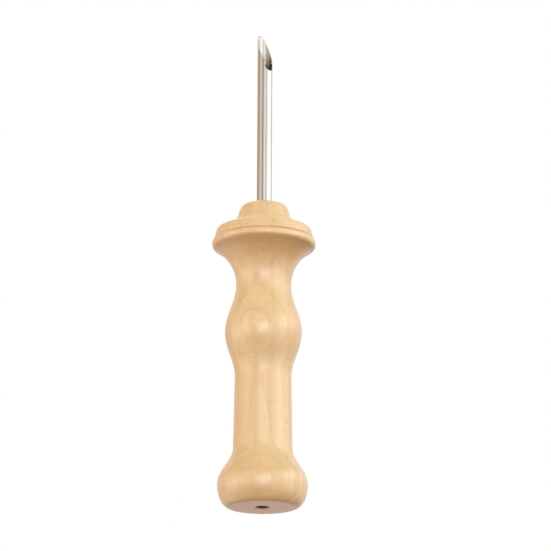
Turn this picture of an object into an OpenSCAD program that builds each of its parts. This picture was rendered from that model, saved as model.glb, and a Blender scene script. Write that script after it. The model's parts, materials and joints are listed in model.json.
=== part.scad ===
// Punch needle: a turned wooden handle, bored from end to end for the yarn,
// with a hollow steel needle bonded into its nose.
// The origin is the centre of the flat base, +Z runs up the axis to the tip,
// and the open bevel of the needle faces -Y.

/* [Handle heights] */
// Height of the whole handle, from the base to the top of the nose
handle_h = 101.7; // [100:0.1:105]
// Height at which the base bulb is widest
bulb_z = 7.4; // [6:0.1:9]
// Height at which the base bulb has run out into the grip
grip_low_z = 19.7; // [17:0.1:23]
// Height at which the grip starts to swell into the bulge
grip_top_z = 43.2; // [37:0.1:46]
// Height of the middle of the bulge
bulge_z = 58.2; // [54:0.1:62]
// Height of the narrowest place of the waist
waist_z = 74.2; // [70:0.1:76]
// Height at which the underside of the flange meets its rim
rim_low_z = 87; // [86:0.1:87.2]
// Height of the fine groove between the rim and the ring above it
groove_z = 89.6; // [89.4:0.1:90.2]
// Height of the outer edge of the flange's sloping top
ring_top_z = 93.1; // [92.6:0.1:93.6]
// Height at which the sloping top would meet the side of the nose
nose_foot_z = 95.1; // [94.6:0.1:96]

/* [Handle widths] */
// Diameter of the flat that the handle stands on
base_flat_d = 21.4; // [16:0.2:24]
// Diameter of the base bulb
bulb_d = 29.4; // [27:0.2:32]
// Diameter of the grip, just above the bulb
grip_low_d = 19.3; // [17:0.1:21]
// Diameter of the grip, just below the bulge
grip_top_d = 18.5; // [17:0.1:21]
// Diameter of the bulge
bulge_d = 25.2; // [22:0.2:27]
// Diameter of the waist
waist_d = 18.1; // [17:0.1:20]
// Diameter of the rim, the widest place of the handle
rim_d = 34.2; // [34:0.1:35.6]
// Diameter of the ring above the groove, at its lower edge
ring_d = 32.6; // [32:0.1:33]
// Depth of the groove below the ring, on the radius
groove_depth = 0.4; // [0.2:0.05:0.5]
// Diameter of the nose where it leaves the flange
nose_foot_d = 19.3; // [18:0.1:21]
// Diameter of the nose at its top
nose_top_d = 14.8; // [13:0.1:17]

/* [Handle rounds] */
// Radius under the rim
rim_low_round = 1.7; // [0.8:0.1:1.9]
// Radius on top of the rim
rim_top_round = 1; // [0.5:0.1:1.2]
// Radius on the outer edge of the flange's sloping top
ring_round = 1.2; // [0.4:0.1:1.4]
// Radius in the corner between the flange and the nose
nose_foot_round = 3.5; // [1:0.1:4]
// Radius on the top edge of the nose
nose_round = 2.2; // [0.5:0.1:2.4]

/* [Yarn channel] */
// Diameter of the channel that carries the yarn, through the handle and on through the needle
channel_d = 4.2; // [3.8:0.1:4.3]
// Size of the chamfer at the mouth of the channel in the base
mouth_chamfer = 0.4; // [0.2:0.1:0.8]

/* [Needle] */
// Outside diameter of the needle tube
needle_d = 5; // [4.9:0.1:5.6]
// Length of the needle that stands out of the nose
needle_reach = 60.3; // [40:0.1:70]
// Length of the needle that is held inside the nose
seat_depth = 30; // [15:0.5:40]
// Length of the slanting cut at the tip, along the axis
bevel_length = 11.8; // [8:0.1:16]
// Depth of the hollow that the grinding wheel leaves in the slanting cut
bevel_hollow = 0.3; // [0.1:0.05:0.5]
// Diameter of the round notch at the lower end of the slanting cut
notch_d = 3.3; // [2.4:0.1:3.6]
// Length taken off the sharp end of the tip
tip_blunt = 0.4; // [0.2:0.05:0.8]
// Chamfer round the needle's lower end, which leads it into its seat
needle_lead = 0.15; // [0.1:0.05:0.2]

/* [Adhesive] */
// Thickness of the hardened adhesive between the needle and the handle
bond_gap = 0.1; // [0.05:0.01:0.2]
// Depth below the top of the nose at which the adhesive stops
bond_drop = 0.3; // [0.2:0.1:1]

/* [Hidden] */

// Steps in each long curve and in each small round of the handle's outline
curve_steps = 14;
round_steps = 6;
// Width of the groove below the ring
groove_w = 0.9;
// How far the ring narrows, on the radius, from its lower edge to its upper edge
ring_taper = 0.6;
// How far short of the rim's lower corner the cove under the flange ends, in and down
cove_gap = [1.2, 0.5];
// Extra length that lets a cutter run clear of a face
cut_over = 1;
turn_fn = 128;
bore_fn = 64;
wheel_fn = 360;

needle_r = needle_d / 2;
channel_r = channel_d / 2;
mouth_r = channel_r + 2 * mouth_chamfer;
seat_r = needle_r + bond_gap;
seat_z = handle_h - seat_depth;
tip_z = handle_h + needle_reach;
heel_z = tip_z - bevel_length;
bevel_rise = bevel_length + tip_blunt;
bevel_angle = atan(needle_d / bevel_rise);
bevel_span = norm([needle_d, bevel_rise]);
wheel_r = bevel_span * bevel_span / (8 * bevel_hollow) + bevel_hollow / 2;

// A smooth half wave from point p to point q, level with the axis at both ends
function wave(p, q) = [
    for (i = [0 : curve_steps])
        let (t = i / curve_steps)
        [p.x + (q.x - p.x) * (1 - cos(180 * t)) / 2, p.y + (q.y - p.y) * t]
];

// A quarter of an ellipse from the edge p of a flat face out and up to point q
function quarter(p, q) = [
    for (i = [0 : curve_steps])
        let (a = 90 * i / curve_steps)
        [p.x + (q.x - p.x) * sin(a), q.y - (q.y - p.y) * cos(a)]
];

// The radius of an arc that leaves point p along the axis and reaches point q
function cove_radius(p, q) = (pow(q.x - p.x, 2) + pow(q.y - p.y, 2)) / (2 * (q.x - p.x));

// That arc, from p to q
function cove(p, q) =
    let (r = cove_radius(p, q), last = asin((q.y - p.y) / r))
    [
        for (i = [0 : curve_steps])
            let (a = last * i / curve_steps)
            [p.x + r * (1 - cos(a)), p.y + r * sin(a)]
    ];

function unit(v) = v / norm(v);

// The round of radius r that replaces the corner at b of the path a, b, c
function fillet(a, b, c, r) =
    let (
        u = unit(a - b),
        v = unit(c - b),
        half = acos(u * v) / 2,
        centre = b + unit(u + v) * r / sin(half),
        first = b + u * r / tan(half) - centre,
        final = b + v * r / tan(half) - centre,
        start = atan2(first.y, first.x),
        turn = atan2(first.x * final.y - first.y * final.x, first * final)
    )
    [
        for (i = [0 : round_steps])
            let (a = start + turn * i / round_steps)
            centre + r * [cos(a), sin(a)]
    ];

base_edge = [base_flat_d / 2, 0];
bulb = [bulb_d / 2, bulb_z];
grip_low = [grip_low_d / 2, grip_low_z];
grip_top = [grip_top_d / 2, grip_top_z];
bulge = [bulge_d / 2, bulge_z];
waist = [waist_d / 2, waist_z];
rim_low = [rim_d / 2, rim_low_z];
rim_top = [rim_d / 2, groove_z];
groove = [ring_d / 2 - groove_depth, groove_z];
ring_low = [ring_d / 2, groove_z + groove_w / 2];
ring_top = [ring_d / 2 - ring_taper, ring_top_z];
nose_foot = [nose_foot_d / 2, nose_foot_z];
nose_top = [nose_top_d / 2, handle_h];
top_centre = [0, handle_h];

// The underside of the flange is one cove, which stops short of the rim
cove_end = rim_low - cove_gap;

handle_outline = concat(
    [[0, 0]],
    quarter(base_edge, bulb),
    wave(bulb, grip_low),
    wave(grip_top, bulge),
    wave(bulge, waist),
    cove(waist, cove_end),
    fillet(cove_end, rim_low, rim_top, rim_low_round),
    fillet(rim_low, rim_top, groove, rim_top_round),
    [groove, ring_low],
    fillet(ring_low, ring_top, nose_foot, ring_round),
    fillet(ring_top, nose_foot, nose_top, nose_foot_round),
    fillet(nose_foot, nose_top, top_centre, nose_round),
    [top_centre]
);

// The turned handle, with the yarn channel and the needle's seat bored in it
module handle() {
    color("#e6c394")
    difference() {
        rotate_extrude($fn = turn_fn)
            polygon(handle_outline);
        translate([0, 0, -cut_over])
            cylinder(r = channel_r, h = handle_h, $fn = bore_fn);
        translate([0, 0, seat_z])
            cylinder(r = seat_r, h = seat_depth + cut_over, $fn = bore_fn);
        translate([0, 0, -mouth_chamfer])
            cylinder(r1 = mouth_r, r2 = channel_r, h = 2 * mouth_chamfer, $fn = bore_fn);
    }
}

// The needle: a steel tube with a slanting cut and a round notch at its end
module needle() {
    color("#c9c6c2")
    difference() {
        union() {
            translate([0, 0, seat_z])
                cylinder(r1 = needle_r - needle_lead, r2 = needle_r, h = needle_lead, $fn = bore_fn);
            translate([0, 0, seat_z + needle_lead])
                cylinder(r = needle_r, h = seat_depth + needle_reach - needle_lead, $fn = bore_fn);
        }
        translate([0, 0, seat_z - cut_over])
            cylinder(r = channel_r, h = seat_depth + needle_reach + 2 * cut_over, $fn = bore_fn);
        translate([0, -needle_r, heel_z])
            rotate([-bevel_angle, 0, 0])
                translate([-needle_d, bevel_hollow - wheel_r, bevel_span / 2])
                    rotate([0, 90, 0])
                        cylinder(r = wheel_r, h = 2 * needle_d, $fn = wheel_fn);
        translate([0, 0, heel_z])
            rotate([90, 0, 0])
                cylinder(r = notch_d / 2, h = needle_d, $fn = bore_fn);
    }
}

// The thin sleeve of hardened adhesive that holds the needle in its seat
module needle_bond() {
    color("#d8cfae")
    translate([0, 0, seat_z + needle_lead])
    difference() {
        cylinder(r = seat_r, h = seat_depth - needle_lead - bond_drop, $fn = bore_fn);
        translate([0, 0, -cut_over])
            cylinder(r = needle_r, h = seat_depth + 2 * cut_over, $fn = bore_fn);
    }
}

handle();
needle();
needle_bond();
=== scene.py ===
"""The looks of the punch needle: turned wooden handle, polished steel needle and its adhesive."""
import json
import math

import bmesh
import bpy
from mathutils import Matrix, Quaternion, Vector


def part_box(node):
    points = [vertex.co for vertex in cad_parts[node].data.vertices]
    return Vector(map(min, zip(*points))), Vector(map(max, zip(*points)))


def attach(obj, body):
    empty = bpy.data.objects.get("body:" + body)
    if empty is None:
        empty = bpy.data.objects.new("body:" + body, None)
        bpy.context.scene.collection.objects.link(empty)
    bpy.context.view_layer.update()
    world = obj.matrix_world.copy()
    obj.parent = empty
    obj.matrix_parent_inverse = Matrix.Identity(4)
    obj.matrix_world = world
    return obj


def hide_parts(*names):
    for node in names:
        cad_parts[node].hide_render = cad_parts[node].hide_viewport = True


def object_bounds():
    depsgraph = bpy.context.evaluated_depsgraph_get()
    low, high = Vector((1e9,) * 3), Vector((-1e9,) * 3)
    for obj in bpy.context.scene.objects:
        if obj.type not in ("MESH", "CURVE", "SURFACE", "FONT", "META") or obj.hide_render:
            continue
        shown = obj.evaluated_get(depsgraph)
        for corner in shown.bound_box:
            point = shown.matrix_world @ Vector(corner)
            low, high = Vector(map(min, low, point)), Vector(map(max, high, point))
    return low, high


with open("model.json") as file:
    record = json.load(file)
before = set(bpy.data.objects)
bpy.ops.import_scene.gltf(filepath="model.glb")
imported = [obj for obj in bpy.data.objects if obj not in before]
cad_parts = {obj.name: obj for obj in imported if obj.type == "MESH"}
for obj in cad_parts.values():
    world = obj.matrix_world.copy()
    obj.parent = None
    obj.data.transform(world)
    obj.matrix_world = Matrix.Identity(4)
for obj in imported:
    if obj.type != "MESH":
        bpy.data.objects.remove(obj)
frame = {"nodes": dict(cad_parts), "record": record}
cad_low, cad_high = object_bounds()

MM = 0.001


# ---------------------------------------------------------------- places, all from the frame

def mount_position(name):
    """The place of one of the record's mounts."""
    return Vector(next(m["pos_m"] for m in frame["record"]["mounts"] if m["name"] == name))


def mount_radius(name):
    """The radius of one of the record's round mounts, in metres."""
    return next(m["dims"]["r_mm"] for m in frame["record"]["mounts"] if m["name"] == name) * MM


def turned_outline(node, smallest_r):
    """The (radius, height) points of a turned CAD node's outside, read off its mesh from the bottom up."""
    heights = {}
    for vertex in frame["nodes"][node].data.vertices:
        r, z = math.hypot(vertex.co.x, vertex.co.y), vertex.co.z
        if r > smallest_r:
            key = round(z, 6)
            heights[key] = max(heights.get(key, 0.0), r)
    return [(heights[z], z) for z in sorted(heights)]


def first_hollow(outline):
    """The height of the first groove above the outline's widest point."""
    widest = max(range(len(outline)), key=lambda i: outline[i][0])
    for i in range(widest + 1, len(outline) - 1):
        if outline[i + 1][0] > outline[i][0]:
            return outline[i][1]
    return outline[widest][1]


handle_low, handle_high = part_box("handle")
needle_low, needle_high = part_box("needle")
channel_r = mount_radius("yarn_channel")
needle_r = needle_high.x
seat_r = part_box("needle_bond")[1].x
nose_z = mount_position("nose_stop").z
tip_z = needle_high.z
INNER_EDGE = 1.5 * MM  # no point of the outline lies closer to the seat's wall than this
handle_outline = turned_outline("handle", seat_r + INNER_EDGE)
groove_z = first_hollow(handle_outline)
CUT_RISE = 12.2 * MM  # how far the slanting cut climbs over the needle's width


# ---------------------------------------------------------------- node helpers

class Nodes:
    """A material's or world's node tree, written to from left to right."""

    def __init__(self, tree):
        self.tree = tree
        self.tree.nodes.clear()

    def add(self, kind, inputs=None, **settings):
        """A node with its settings and its input values or links."""
        node = self.tree.nodes.new(kind)
        for key, value in settings.items():
            setattr(node, key, value)
        for key, value in (inputs or {}).items():
            if isinstance(value, bpy.types.NodeSocket):
                self.tree.links.new(value, node.inputs[key])
            else:
                node.inputs[key].default_value = value
        return node

    def math(self, operation, *values):
        """The result of a Math node."""
        return self.add("ShaderNodeMath", dict(enumerate(values)), operation=operation).outputs[0]

    def vector(self, operation, *values):
        """A Vector Math node, because its result is on one of two sockets."""
        return self.add("ShaderNodeVectorMath", dict(enumerate(values)), operation=operation)

    def scaled(self, vector, scale):
        """The vector with each axis multiplied by its own scale."""
        return self.vector("MULTIPLY", vector, scale).outputs[0]

    def place(self):
        """The point being shaded, in the frame that the CAD and Blender share."""
        return self.add("ShaderNodeTexCoord").outputs["Object"]

    def height(self, place):
        """How high the point is."""
        return self.add("ShaderNodeSeparateXYZ", {0: place}).outputs[2]

    def from_axis(self, place):
        """How far the point is from the object's axis."""
        return self.vector("LENGTH", self.scaled(place, (1.0, 1.0, 0.0))).outputs["Value"]

    def noise(self, vector, detail=3.0, roughness=0.5):
        """Noise between 0 and 1, mostly near a half, with one feature per unit of the vector."""
        inputs = {"Vector": vector, "Scale": 1.0, "Detail": detail, "Roughness": roughness}
        return self.add("ShaderNodeTexNoise", inputs).outputs["Fac"]

    def grain(self, place, across, along, detail=3.0, roughness=0.5):
        """Noise with so many features per metre across the object's axis, and so many along it."""
        return self.noise(self.scaled(place, (across, across, along)), detail, roughness)

    def span(self, value, low, high, to_low=0.0, to_high=1.0, smooth=False):
        """The value mapped from one range to another, and clamped."""
        inputs = {"Value": value, "From Min": low, "From Max": high, "To Min": to_low, "To Max": to_high}
        kind = "SMOOTHSTEP" if smooth else "LINEAR"
        return self.add("ShaderNodeMapRange", inputs, interpolation_type=kind).outputs[0]

    def mix(self, factor, a, b, blend="MIX"):
        """Colour a where the factor is 0, and colour b where it is 1."""
        node = self.tree.nodes.new("ShaderNodeMix")
        node.data_type = "RGBA"
        node.blend_type = blend
        for socket, value in ((node.inputs[0], factor), (node.inputs[6], a), (node.inputs[7], b)):
            if isinstance(value, bpy.types.NodeSocket):
                self.tree.links.new(value, socket)
            else:
                socket.default_value = value
        return node.outputs[2]

    def bump(self, height, distance, strength, normal=None):
        """The normal of a surface that the height raises by up to this distance, over another normal."""
        inputs = {"Height": height, "Distance": distance, "Strength": strength}
        if normal is not None:
            inputs["Normal"] = normal
        return self.add("ShaderNodeBump", inputs).outputs[0]

    def ramp(self, value, stops):
        """A colour ramp with straight runs between its stops, which are (position, colour)."""
        node = self.add("ShaderNodeValToRGB", {"Fac": value})
        node.color_ramp.interpolation = "LINEAR"
        elements = node.color_ramp.elements
        while len(elements) > 1:
            elements.remove(elements[-1])
        elements[0].position = stops[0][0]
        elements[0].color = stops[0][1]
        for position, colour in stops[1:]:
            elements.new(position).color = colour
        return node.outputs[0]

    def principled(self, **inputs):
        """The material's shader, joined to its output. An input's underscores stand for spaces."""
        values = {name.replace("_", " "): value for name, value in inputs.items()}
        shader = self.add("ShaderNodeBsdfPrincipled", values)
        self.add("ShaderNodeOutputMaterial", {"Surface": shader.outputs[0]})


def new_material(name):
    """A material and its empty node tree."""
    material = bpy.data.materials.new(name)
    material.use_nodes = True
    return material, Nodes(material.node_tree)


def rgb(red, green, blue):
    """A colour given in the linear values that a shader takes."""
    return (red, green, blue, 1.0)


# ---------------------------------------------------------------- materials

HONEY = rgb(0.845, 0.612, 0.303)
PALE = rgb(0.91, 0.685, 0.383)
AMBER = rgb(0.71, 0.415, 0.175)
PORE_BROWN = rgb(0.5, 0.29, 0.14)
END_GRAIN = rgb(0.93, 0.52, 0.31)
END_PORE = rgb(0.60, 0.31, 0.18)
# Painted shade for the flange's groove
GROOVE_SHADE = rgb(0.50, 0.25, 0.10)
# Painted shade for the cove under the flange
COVE_SHADE = rgb(0.68, 0.33, 0.10)
# Painted shade for the bored hole
HOLE_SHADE = rgb(0.13, 0.07, 0.04)


def growth_rings(n, place):
    """The late wood of each ring. The rings lie round a pith line beside the handle, bent by slow noise."""
    pith, ring_width, most_bend = (43 * MM, 31 * MM, 0.0), 2.6 * MM, 6 * MM
    drift = n.grain(place, across=32.0, along=7.0, detail=2.0)
    from_pith = n.vector("SUBTRACT", n.scaled(place, (1.0, 1.0, 0.0)), pith).outputs[0]
    distance = n.vector("LENGTH", from_pith).outputs["Value"]
    bent = n.math("MULTIPLY_ADD", drift, most_bend, distance)
    through_ring = n.math("FRACT", n.math("DIVIDE", bent, ring_width))
    return n.span(n.math("POWER", through_ring, 3.0), 0.15, 1.0)


def side_grain(n, place, fibre, mottle):
    """The colour of wood cut along its fibres: mottling, with darker marks laid over it one by one."""
    streak = n.grain(place, across=260.0, along=9.0, detail=2.0)
    pore = n.grain(place, across=3600.0, along=260.0, detail=1.0)
    fleck = n.grain(place, across=1500.0, along=420.0, detail=1.0)
    fleck_patch = n.grain(place, across=150.0, along=14.0, detail=1.0)
    flecks = n.math("MULTIPLY", n.span(fleck, 0.57, 0.67), n.span(fleck_patch, 0.48, 0.6))
    tool_mark = n.grain(place, across=14.0, along=800.0, roughness=0.6)
    marks = (
        (n.span(streak, 0.45, 0.8, 0.0, 0.42), AMBER),
        (n.math("MULTIPLY", growth_rings(n, place), 0.28), AMBER),
        (n.span(fibre, 0.35, 0.7, 0.0, 0.24), AMBER),
        (n.span(pore, 0.66, 0.74, 0.0, 0.3), PORE_BROWN),
        (n.math("MULTIPLY", flecks, 0.26), PORE_BROWN),
        (n.span(tool_mark, 0.45, 0.75, 0.0, 0.2), AMBER),
    )
    colour = n.mix(n.span(mottle, 0.3, 0.7), HONEY, PALE)
    for amount, mark_colour in marks:
        colour = n.mix(amount, colour, mark_colour)
    return colour


def with_end_grain(n, place, upward, colour):
    """End grain shows on the flat base and the top of the nose: redder, with dark pores."""
    pore = n.grain(place, across=4200.0, along=4200.0, detail=2.0)
    cut_across = n.mix(n.span(pore, 0.52, 0.68, 0.0, 0.5), END_GRAIN, END_PORE)
    flat = n.span(n.math("ABSOLUTE", upward), 0.9, 0.995, 0.0, 0.75, smooth=True)
    return n.mix(flat, colour, cut_across)


def with_groove_shade(n, height, mottle, colour):
    """Painted shade darkens the groove in the flange, in patches."""
    shade_half_width, shade_core = 0.75 * MM, 0.2 * MM
    from_groove = n.math("ABSOLUTE", n.math("SUBTRACT", height, groove_z))
    in_groove = n.span(from_groove, shade_half_width, shade_core, smooth=True)
    patchy_shade = n.math("MULTIPLY", in_groove, n.span(mottle, 0.35, 0.65, 0.25))
    return n.mix(n.math("MULTIPLY", patchy_shade, 0.6), colour, GROOVE_SHADE)


def with_cove_shade(n, height, upward, colour):
    """Painted shade, deeper in colour, in the cove under the flange, on the faces that look downward."""
    cove_foot, cove_top = groove_z - 9 * MM, groove_z - 4 * MM
    in_cove = n.math("MULTIPLY", n.span(height, cove_foot, cove_top), n.span(upward, -0.2, -0.6))
    return n.mix(n.math("MULTIPLY", in_cove, 0.4), colour, COVE_SHADE)


def with_hole_shade(n, place, height, colour):
    """Painted shade makes the bored hole dark, and darkens its softened mouth towards it. The seat's mouth
    is spared.
    """
    clean_r, black_r = channel_r + 0.42 * MM, channel_r + 0.1 * MM
    bored = n.span(n.from_axis(place), clean_r, black_r, smooth=True)
    below_nose = n.span(height, nose_z - MM, nose_z - 3 * MM)
    return n.mix(n.math("MULTIPLY", bored, below_nose), colour, HOLE_SHADE)


def make_wood():
    """Pale close-grained turned wood under a clear satin lacquer. The grain runs along Z."""
    material, n = new_material("handle_wood")
    place = n.place()
    height = n.height(place)
    upward = n.height(n.add("ShaderNodeNewGeometry").outputs["Normal"])
    fibre = n.grain(place, across=1500.0, along=34.0, detail=4.0, roughness=0.6)
    mottle = n.grain(place, across=75.0, along=26.0)

    colour = side_grain(n, place, fibre, mottle)
    colour = with_end_grain(n, place, upward, colour)
    # Painted shade in the flange's groove, in patches
    colour = with_groove_shade(n, height, mottle, colour)
    # Painted shade in the cove under the flange
    colour = with_cove_shade(n, height, upward, colour)
    # Painted shade in the bored hole and its mouth
    colour = with_hole_shade(n, place, height, colour)

    # Fine lathe lines round the handle, the fibres, and the soft orange peel of the lacquer
    lathe_line = n.grain(place, across=25.0, along=2600.0, detail=2.0)
    peel = n.grain(place, across=420.0, along=300.0, detail=1.0)
    n.principled(
        Base_Color=colour, Roughness=n.span(fibre, 0.3, 0.7, 0.42, 0.54), Specular_IOR_Level=0.5,
        Normal=n.bump(fibre, 0.02 * MM, 0.3, n.bump(lathe_line, 0.01 * MM, 0.35)),
        Coat_Weight=1.0, Coat_Roughness=0.26, Coat_IOR=1.85, Coat_Normal=n.bump(peel, 0.03 * MM, 0.25),
        Subsurface_Weight=0.06, Subsurface_Scale=1.5 * MM,
    )
    return material


STEEL_LIGHT = rgb(0.64, 0.63, 0.615)
STEEL_DARK = rgb(0.60, 0.588, 0.572)
BORE_BY_TIP = rgb(0.68, 0.655, 0.615)
# Painted shade deep inside the tube, browner and darker
BORE_SHADED_DEEP = rgb(0.33, 0.25, 0.17)
BORE_STREAK = rgb(0.20, 0.15, 0.10)
GROUND_LIGHT = rgb(0.95, 0.94, 0.92)
GROUND_DARK = rgb(0.80, 0.79, 0.77)
BORE_ROUGHNESS = 0.34
GROUND_ROUGHNESS = 0.36


def bore_steel(n, place, drawn):
    """The unpolished inside of the tube, made browner and darker away from the tip by painted shade. Gives
    its mask and its colour.
    """
    inside = n.span(n.from_axis(place), channel_r + 0.12 * MM, channel_r + 0.04 * MM)
    # Painted shade, growing away from the tip
    shaded_deep = n.span(n.height(place), tip_z - 5 * MM, tip_z - 12 * MM, smooth=True)
    colour = n.mix(shaded_deep, BORE_BY_TIP, BORE_SHADED_DEEP)
    colour = n.mix(n.span(drawn, 0.4, 0.7, 0.0, 0.35), colour, BORE_STREAK)
    return inside, colour


def ground_steel(n, place):
    """The slanting cut, with fine scratches across it. Gives its mask, its colour and the scratches."""
    cut_normal = Vector((0.0, -CUT_RISE, 2 * needle_r)).normalized()
    normal = n.add("ShaderNodeNewGeometry").outputs["Normal"]
    along_cut_normal = n.vector("DOT_PRODUCT", normal, cut_normal).outputs["Value"]
    on_cut = n.span(along_cut_normal, 0.955, 0.975)
    scratch = n.noise(n.scaled(place, (600.0, 9000.0, 9000.0)), detail=2.0)
    return on_cut, n.mix(scratch, GROUND_LIGHT, GROUND_DARK), scratch


def make_steel():
    """Bright polished tube steel: a satin ground cut at the tip, and a duller inside, which painted shade
    makes browner and darker away from the tip.
    """
    material, n = new_material("needle_steel")
    place = n.place()
    drawn = n.grain(place, across=5200.0, along=60.0, roughness=0.6)
    cloud = n.grain(place, across=260.0, along=120.0)
    inside, bore_colour = bore_steel(n, place, drawn)
    on_cut, cut_colour, scratch = ground_steel(n, place)

    colour = n.mix(n.span(cloud, 0.35, 0.7), STEEL_LIGHT, STEEL_DARK)
    colour = n.mix(inside, colour, bore_colour)
    colour = n.mix(on_cut, colour, cut_colour)
    rough = n.math("ADD", n.span(drawn, 0.3, 0.75, 0.05, 0.11), n.span(cloud, 0.45, 0.8, 0.0, 0.08))
    rough = n.math("MAXIMUM", rough, n.math("MULTIPLY", inside, BORE_ROUGHNESS))
    rough = n.math("MAXIMUM", rough, n.math("MULTIPLY", on_cut, GROUND_ROUGHNESS))
    normal = n.bump(drawn, 0.004 * MM, 0.3)
    normal = n.bump(n.math("MULTIPLY", scratch, on_cut), 0.006 * MM, 0.4, normal)
    n.principled(Base_Color=colour, Metallic=1.0, Roughness=rough, Normal=normal)
    return material


RESIN_LIGHT = rgb(0.55, 0.44, 0.26)
RESIN_DARK = rgb(0.42, 0.31, 0.16)


def make_resin():
    """Hardened clear adhesive, slightly amber and cloudy."""
    material, n = new_material("bond_resin")
    cloud = n.grain(n.place(), across=1800.0, along=900.0)
    n.principled(
        Base_Color=n.mix(n.span(cloud, 0.35, 0.7), RESIN_LIGHT, RESIN_DARK),
        Roughness=n.span(cloud, 0.3, 0.7, 0.18, 0.34), Normal=n.bump(cloud, 0.02 * MM, 0.4),
        Transmission_Weight=0.2, IOR=1.52,
    )
    return material


# ---------------------------------------------------------------- meshes

def finish_mesh(name, build, material):
    """An object made from a bmesh, with smooth faces and outward normals."""
    bmesh.ops.recalc_face_normals(build, faces=build.faces)
    mesh = bpy.data.meshes.new(name)
    build.to_mesh(mesh)
    build.free()
    mesh.shade_smooth()
    mesh.materials.append(material)
    piece = bpy.data.objects.new(name, mesh)
    bpy.context.scene.collection.objects.link(piece)
    return piece


def rounded(points, steps):
    """A smooth curve through the points (Catmull-Rom), with this many steps between neighbours."""
    out = []
    last = len(points) - 1
    tiny = 1e-9
    for i in range(last):
        before, a, b, after = (Vector(points[max(0, min(last, i + k))]) for k in (-1, 0, 1, 2))
        span = (b - a).length
        leave = (b - before) / max((b - a).length + (a - before).length, tiny) * span
        arrive = (after - a) / max((after - b).length + (b - a).length, tiny) * span
        for step in range(steps):
            t = step / steps
            out.append(
                a * (2 * t**3 - 3 * t**2 + 1) + leave * (t**3 - 2 * t**2 + t)
                + b * (3 * t**2 - 2 * t**3) + arrive * (t**3 - t**2)
            )
    out.append(Vector(points[last]))
    return [(p.x, p.y) for p in out]


def lathe(build, outline, turns):
    """Turns a closed outline of (radius, height) points round Z."""
    rings = []
    for step in range(turns):
        angle = 2 * math.pi * step / turns
        c, s = math.cos(angle), math.sin(angle)
        rings.append([build.verts.new((r * c, r * s, z)) for r, z in outline])
    for step in range(turns):
        here, there = rings[step], rings[(step + 1) % turns]
        for i in range(len(outline)):
            j = (i + 1) % len(outline)
            build.faces.new((here[i], there[i], there[j], here[j]))


def level(start_r, end_r, z, steps):
    """Points along a flat face, from the first step after one radius up to another radius."""
    return [(start_r + (end_r - start_r) * k / steps, z) for k in range(1, steps + 1)]


def softened_mouth(steps):
    """The rounded mouth of the channel in the base, from the flat base up into the channel."""
    round_r = 0.45 * MM
    return [
        (channel_r + round_r * (1 - math.sin(a)), handle_low.z + round_r * (1 - math.cos(a)))
        for a in (math.radians(90 / steps * k) for k in range(steps + 1))
    ]


def make_handle(material):
    """The turned handle, finely stepped, with its channel, seat and softened mouths."""
    turns, outline_steps, mouth_steps, base_steps, nose_steps = 192, 3, 6, 6, 4
    lip = 0.12 * MM
    widest = min(-handle_low.x, handle_high.x, -handle_low.y, handle_high.y)
    outside = [(min(r, widest), z) for r, z in rounded(handle_outline, outline_steps)]
    nose_flat = level(outside[-1][0], seat_r + lip, handle_high.z, nose_steps)
    inside = [(seat_r, handle_high.z - lip), (seat_r, needle_low.z), (channel_r, needle_low.z)]
    mouth = softened_mouth(mouth_steps)
    base_flat = level(outside[0][0], mouth[0][0], handle_low.z, base_steps)[:-1]
    build = bmesh.new()
    lathe(build, outside + nose_flat + inside + mouth[::-1] + base_flat[::-1], turns)
    piece = finish_mesh("turned_handle", build, material)
    piece.data.set_sharp_from_angle(angle=math.radians(40))
    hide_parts("handle")
    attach(piece, "root")


def make_needle(material):
    """The needle tube, with every sharp edge of the CAD mesh eased by a few hundredths of a millimetre."""
    ease, weld_distance = 0.05 * MM, 0.0001 * MM
    crease, flat_enough = math.radians(35), math.radians(0.05)
    build = bmesh.new()
    build.from_mesh(frame["nodes"]["needle"].data)
    bmesh.ops.remove_doubles(build, verts=build.verts, dist=weld_distance)
    bmesh.ops.dissolve_limit(build, angle_limit=flat_enough, verts=build.verts, edges=build.edges)
    sharp = [e for e in build.edges if len(e.link_faces) == 2 and e.calc_face_angle(0.0) > crease]
    bmesh.ops.bevel(
        build, geom=sharp, offset=ease, segments=2, profile=0.5, affect="EDGES", clamp_overlap=True
    )
    piece = finish_mesh("needle_tube", build, material)
    piece.data.set_sharp_from_angle(angle=crease)
    # The eased edges take their shading from the broad faces beside them, so reflections run straight
    firm = piece.modifiers.new("firm_normals", "WEIGHTED_NORMAL")
    firm.keep_sharp = True
    firm.weight = 100
    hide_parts("needle")
    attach(piece, "root")


make_handle(make_wood())
make_needle(make_steel())

resin = make_resin()
for slot in frame["nodes"]["needle_bond"].material_slots:
    slot.material = resin


# ---------------------------------------------------------------- camera, light and floor

VIEW_AZIMUTH = -42.0
VIEW_ELEVATION = -16.0


def direction(azimuth, elevation):
    """The way from the object to something at that azimuth and elevation, in degrees."""
    a, e = math.radians(azimuth), math.radians(elevation)
    return Vector((math.sin(a) * math.cos(e), -math.cos(a) * math.cos(e), math.sin(e)))


def make_camera():
    """A long lens about a metre away and a little below, as the object was photographed."""
    distance, focal, sensor = 0.987, 196.0, 36.0
    aim_height, aim_right, roll = 77.65 * MM, 3.87 * MM, math.radians(0.27)
    back = direction(VIEW_AZIMUTH, VIEW_ELEVATION)
    right = Vector((0, 0, 1)).cross(back).normalized()
    data = bpy.data.cameras.new("camera")
    data.lens, data.sensor_width = focal, sensor
    data.clip_start, data.clip_end = 0.05, 20.0
    camera = bpy.data.objects.new("camera", data)
    aim = Vector((0, 0, cad_low.z + aim_height)) + right * aim_right
    camera.location = aim + back * distance
    camera.rotation_mode = "QUATERNION"
    camera.rotation_quaternion = (-back).to_track_quat("-Z", "Y") @ Quaternion((0, 0, 1), roll)
    bpy.context.scene.collection.objects.link(camera)
    bpy.context.scene.camera = camera


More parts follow.
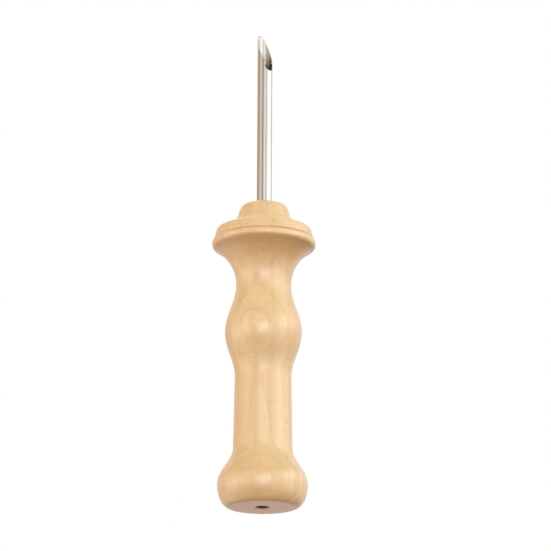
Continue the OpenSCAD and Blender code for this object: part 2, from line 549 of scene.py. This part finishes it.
def make_light(name, azimuth, elevation, distance, size, power):
    """A white soft box aimed at the middle of the object. Azimuth is counted from the camera's."""
    middle = (cad_low + cad_high) / 2
    data = bpy.data.lights.new(name, "AREA")
    data.shape = "RECTANGLE"
    data.size, data.size_y = size
    data.energy = power
    light = bpy.data.objects.new(name, data)
    away = direction(VIEW_AZIMUTH + azimuth, elevation)
    light.location = middle + away * distance
    light.rotation_mode = "QUATERNION"
    light.rotation_quaternion = away.to_track_quat("Z", "Y")
    light.visible_glossy = False
    bpy.context.scene.collection.objects.link(light)


# Each soft box: azimuth, elevation, distance, size and power
LIGHTS = {
    "key_softbox": (18, 58, 0.9, (0.6, 0.6), 2.6),
    "left_softbox": (-75, 15, 0.9, (0.4, 0.9), 1.3),
}

# Colours of the room round the object. The table's sheen is what reflections show of it
CEILING = rgb(0.15, 0.15, 0.15)
BACKDROP = rgb(1.0, 1.0, 1.0)
TABLE = rgb(0.27, 0.15, 0.07)
TABLE_SHEEN = rgb(0.34, 0.28, 0.23)

# Where one gives way to the next, in degrees: from the camera's side to the back, and of rise
BACKDROP_EDGE = (115.0, 165.0)
CEILING_EDGE = (24.0, 44.0)
TABLE_EDGE = (-4.0, -30.0)

# The walls' colour at each azimuth from the camera's side, and their brightness as a whole
WALL_BRIGHTNESS = 0.93
WALLS = (
    (-180, (0.95, 0.90, 0.84)), (-150, (0.80, 0.64, 0.50)), (-94, (0.66, 0.50, 0.38)),
    (-84, (0.78, 0.60, 0.45)), (-74, (1.15, 0.90, 0.72)), (-56, (1.22, 0.99, 0.82)),
    (-44, (0.90, 0.75, 0.62)), (-26, (0.46, 0.40, 0.34)), (-13, (1.05, 0.99, 0.92)),
    (-4, (1.30, 1.25, 1.18)), (9, (1.40, 1.39, 1.34)), (20, (0.74, 0.74, 0.73)),
    (32, (1.02, 1.02, 1.01)), (50, (1.75, 1.70, 1.62)), (76, (1.70, 1.62, 1.52)),
    (94, (1.24, 1.08, 0.98)), (120, (0.92, 0.82, 0.73)), (150, (0.95, 0.90, 0.86)),
    (180, (0.95, 0.90, 0.84)),
)

# Soft-edged panels on the walls. Each: brightness, then in degrees its azimuth and half width, its rise
# and half height, and the widths of its upright and level edges
PANELS = {
    "front": (1.8, 4.0, 12.0, 3.0, 6.0, 16.0, 9.0),
    "right": (0.6, 90.0, 24.0, 30.0, 14.0, 12.0, 12.0),
    "left": (0.8, -75.0, 30.0, 2.0, 6.0, 10.0, 10.0),
    "low_left": (0.4, -115.0, 30.0, -38.0, 12.0, 24.0, 24.0),
}


def world_directions(n):
    """The azimuth from the camera's side and the rise of the way that a ray goes, in degrees."""
    way = n.add("ShaderNodeTexCoord").outputs["Generated"]
    x, y, z = n.add("ShaderNodeSeparateXYZ", {0: way}).outputs
    turn = n.math("DEGREES", n.math("ARCTAN2", x, n.math("MULTIPLY", y, -1.0)))
    azimuth = n.math("WRAP", n.math("SUBTRACT", turn, VIEW_AZIMUTH), 180.0, -180.0)
    return azimuth, n.math("DEGREES", n.math("ARCSINE", z))


def panel(n, azimuth, rise, brightness, side, half_width, height, half_height, side_edge, rise_edge):
    """The light of one soft-edged panel: its brightness inside, and 0 outside."""
    beside = n.math("ABSOLUTE", n.math("SUBTRACT", azimuth, side))
    above = n.math("ABSOLUTE", n.math("SUBTRACT", rise, height))
    across = n.span(beside, half_width + side_edge, half_width, smooth=True)
    up = n.span(above, half_height + rise_edge, half_height, smooth=True)
    return n.math("MULTIPLY", n.math("MULTIPLY", across, up), brightness)


def room_colour(n, azimuth, rise, glossy):
    """The room without its panels: walls, a dim ceiling that is white at the back, and a warm table."""
    stops = [((a + 180.0) / 360.0, rgb(*[WALL_BRIGHTNESS * v for v in colour])) for a, colour in WALLS]
    walls = n.ramp(n.span(azimuth, -180.0, 180.0), stops)
    behind = n.span(n.math("ABSOLUTE", azimuth), *BACKDROP_EDGE, smooth=True)
    ceiling = n.mix(behind, CEILING, BACKDROP)
    upper = n.mix(n.span(rise, *CEILING_EDGE, smooth=True), walls, ceiling)
    table = n.mix(glossy, TABLE, TABLE_SHEEN)
    return n.mix(n.span(rise, *TABLE_EDGE, smooth=True), upper, table)


def make_world():
    """The room that lights the object and shows in its reflections. The camera itself sees plain white."""
    world = bpy.data.worlds.new("studio")
    world.use_nodes = True
    bpy.context.scene.world = world
    n = Nodes(world.node_tree)
    azimuth, rise = world_directions(n)
    ray = n.add("ShaderNodeLightPath").outputs
    room = room_colour(n, azimuth, rise, ray["Is Glossy Ray"])
    for values in PANELS.values():
        light = panel(n, azimuth, rise, *values)
        grey = n.add("ShaderNodeCombineColor", {0: light, 1: light, 2: light}).outputs[0]
        room = n.mix(1.0, room, grey, "ADD")
    colour = n.mix(ray["Is Camera Ray"], room, rgb(1.0, 1.0, 1.0))
    background = n.add("ShaderNodeBackground", {"Color": colour, "Strength": 1.0})
    n.add("ShaderNodeOutputWorld", {"Surface": background.outputs[0]})


def make_floor():
    """A plain pale floor that fades into the white room. Its underside is clear, for views from below."""
    half, gap, fade_start, fade_end = 1.2, 0.2 * MM, 0.25, 1.1
    build = bmesh.new()
    corners = ((-half, -half), (half, -half), (half, half), (-half, half))
    build.faces.new([build.verts.new((x, y, cad_low.z - gap)) for x, y in corners])
    mesh = bpy.data.meshes.new("floor")
    build.to_mesh(mesh)
    build.free()
    floor = bpy.data.objects.new("floor", mesh)
    bpy.context.scene.collection.objects.link(floor)
    material, n = new_material("floor_pale")
    away = n.vector("LENGTH", n.place()).outputs["Value"]
    underside = n.add("ShaderNodeNewGeometry").outputs["Backfacing"]
    unseen = n.math("MAXIMUM", underside, n.span(away, fade_start, fade_end, smooth=True))
    matt = n.add("ShaderNodeBsdfDiffuse", {"Color": rgb(0.90, 0.89, 0.875)})
    clear = n.add("ShaderNodeBsdfTransparent")
    shader = n.add("ShaderNodeMixShader", {0: unseen, 1: matt.outputs[0], 2: clear.outputs[0]})
    n.add("ShaderNodeOutputMaterial", {"Surface": shader.outputs[0]})
    mesh.materials.append(material)
    floor.visible_shadow = False
    floor.visible_diffuse = False
    floor.visible_glossy = False


make_camera()
make_world()
for light_name, settings in LIGHTS.items():
    make_light(light_name, *settings)
make_floor()

bpy.context.scene.view_settings.view_transform = "Standard"
bpy.context.scene.view_settings.look = "None"
